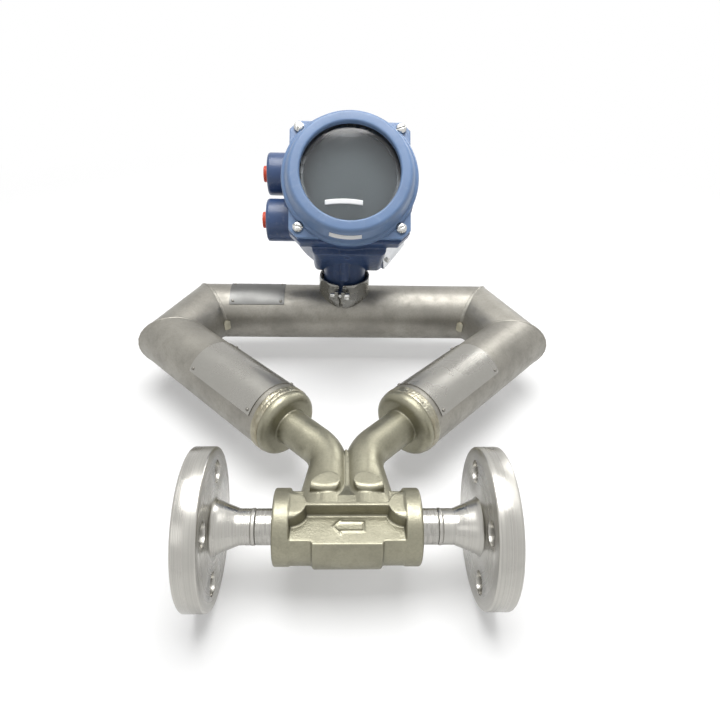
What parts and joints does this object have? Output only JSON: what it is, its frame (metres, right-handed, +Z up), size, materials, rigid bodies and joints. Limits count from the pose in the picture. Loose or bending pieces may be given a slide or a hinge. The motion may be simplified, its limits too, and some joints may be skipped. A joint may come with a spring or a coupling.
{
  "type": "coriolis flow meter",
  "caption": "Coriolis flow meter with a three-sided welded stainless casing, a cast manifold between two weld-neck flanges, and a blue transmitter head with a round window on a clamped stem.",
  "frame": {"origin": "centre of the inlet flange's raised face, on the bore axis", "axes": "+X points out of the inlet along the pipe, +Y from the pipe to the back of the casing, +Z up the transmitter's stem"},
  "size_m": [0.359, 0.3803, 0.2297],
  "materials": {
    "machined_steel": "turned, bright",
    "weld_steel": "rippled weld",
    "cast_steel": "bead-blasted casting",
    "case_steel": "bead-blasted, satin",
    "tube_steel": "drawn, satin",
    "header_glass": "sintered",
    "pin_brass": "plain",
    "seal_rubber": "moulded",
    "clamp_steel": "precision cast",
    "screw_steel": "bright",
    "housing_paint": "semi-gloss paint",
    "cover_paint": "semi-gloss paint",
    "window_glass": "polished",
    "ring_aluminium": "turned",
    "display_plastic": "moulded",
    "board_resin": "coated board",
    "terminal_plastic": "moulded",
    "plug_plastic": "moulded",
    "tag_aluminium": "anodised",
    "plate_steel": "polished sheet",
    "rivet_aluminium": "domed",
    "coil_copper": "wound wire",
    "magnet_steel": "plated magnet"
  },
  "bodies": {
    "sensor": {"inlet_flange": "machined_steel", "outlet_flange": "machined_steel", "inlet_neck_weld": "weld_steel", "outlet_neck_weld": "weld_steel", "manifold": "cast_steel", "back_case_tube": "case_steel", "left_corner_wedge": "case_steel", "right_corner_wedge": "case_steel", "left_arm_tube": "case_steel", "right_arm_tube": "case_steel", "left_mitre_welds": "weld_steel", "right_mitre_welds": "weld_steel", "left_cap_weld": "weld_steel", "right_cap_weld": "weld_steel", "left_purge_plug": "weld_steel", "right_purge_plug": "weld_steel", "upper_flow_tube": "tube_steel", "lower_flow_tube": "tube_steel", "left_brace_bar": "tube_steel", "right_brace_bar": "tube_steel", "temperature_sensor": "tube_steel", "feedthrough_boss": "case_steel", "feedthrough_header": "header_glass", "feedthrough_pins": "pin_brass", "joint_seal": "seal_rubber", "clamp_ring": "clamp_steel", "clamp_screw": "screw_steel", "name_plate": "plate_steel", "left_tag_plate": "plate_steel", "right_tag_plate": "plate_steel", "plate_rivets": "rivet_aluminium", "drive_coil": "coil_copper", "drive_magnet": "magnet_steel", "drive_coil_carrier": "tube_steel", "drive_magnet_carrier": "tube_steel", "left_pickoff_coil": "coil_copper", "left_pickoff_magnet": "magnet_steel", "left_pickoff_coil_carrier": "tube_steel", "left_pickoff_magnet_carrier": "tube_steel", "right_pickoff_coil": "coil_copper", "right_pickoff_magnet": "magnet_steel", "right_pickoff_coil_carrier": "tube_steel", "right_pickoff_magnet_carrier": "tube_steel"},
    "head": {"housing": "housing_paint", "cover": "cover_paint", "cover_glass": "window_glass", "glass_gasket": "seal_rubber", "glass_retainer": "ring_aluminium", "cover_seal": "seal_rubber", "cover_screws": "screw_steel", "display_module": "display_plastic", "processor_board": "board_resin", "power_board": "board_resin", "board_posts": "pin_brass", "terminal_block": "terminal_plastic", "terminal_screws": "screw_steel", "upper_conduit_plug": "plug_plastic", "lower_conduit_plug": "plug_plastic", "housing_tag": "tag_aluminium", "tag_screw": "screw_steel"}
  },
  "joints": [
    {"name": "head_swivel", "type": "hinge", "parent": "sensor", "child": "head", "pos_m": [-0.095, 0.2525, 0.03], "axis": [0, 0, 1], "range_deg": [-180, 180]}
  ]
}
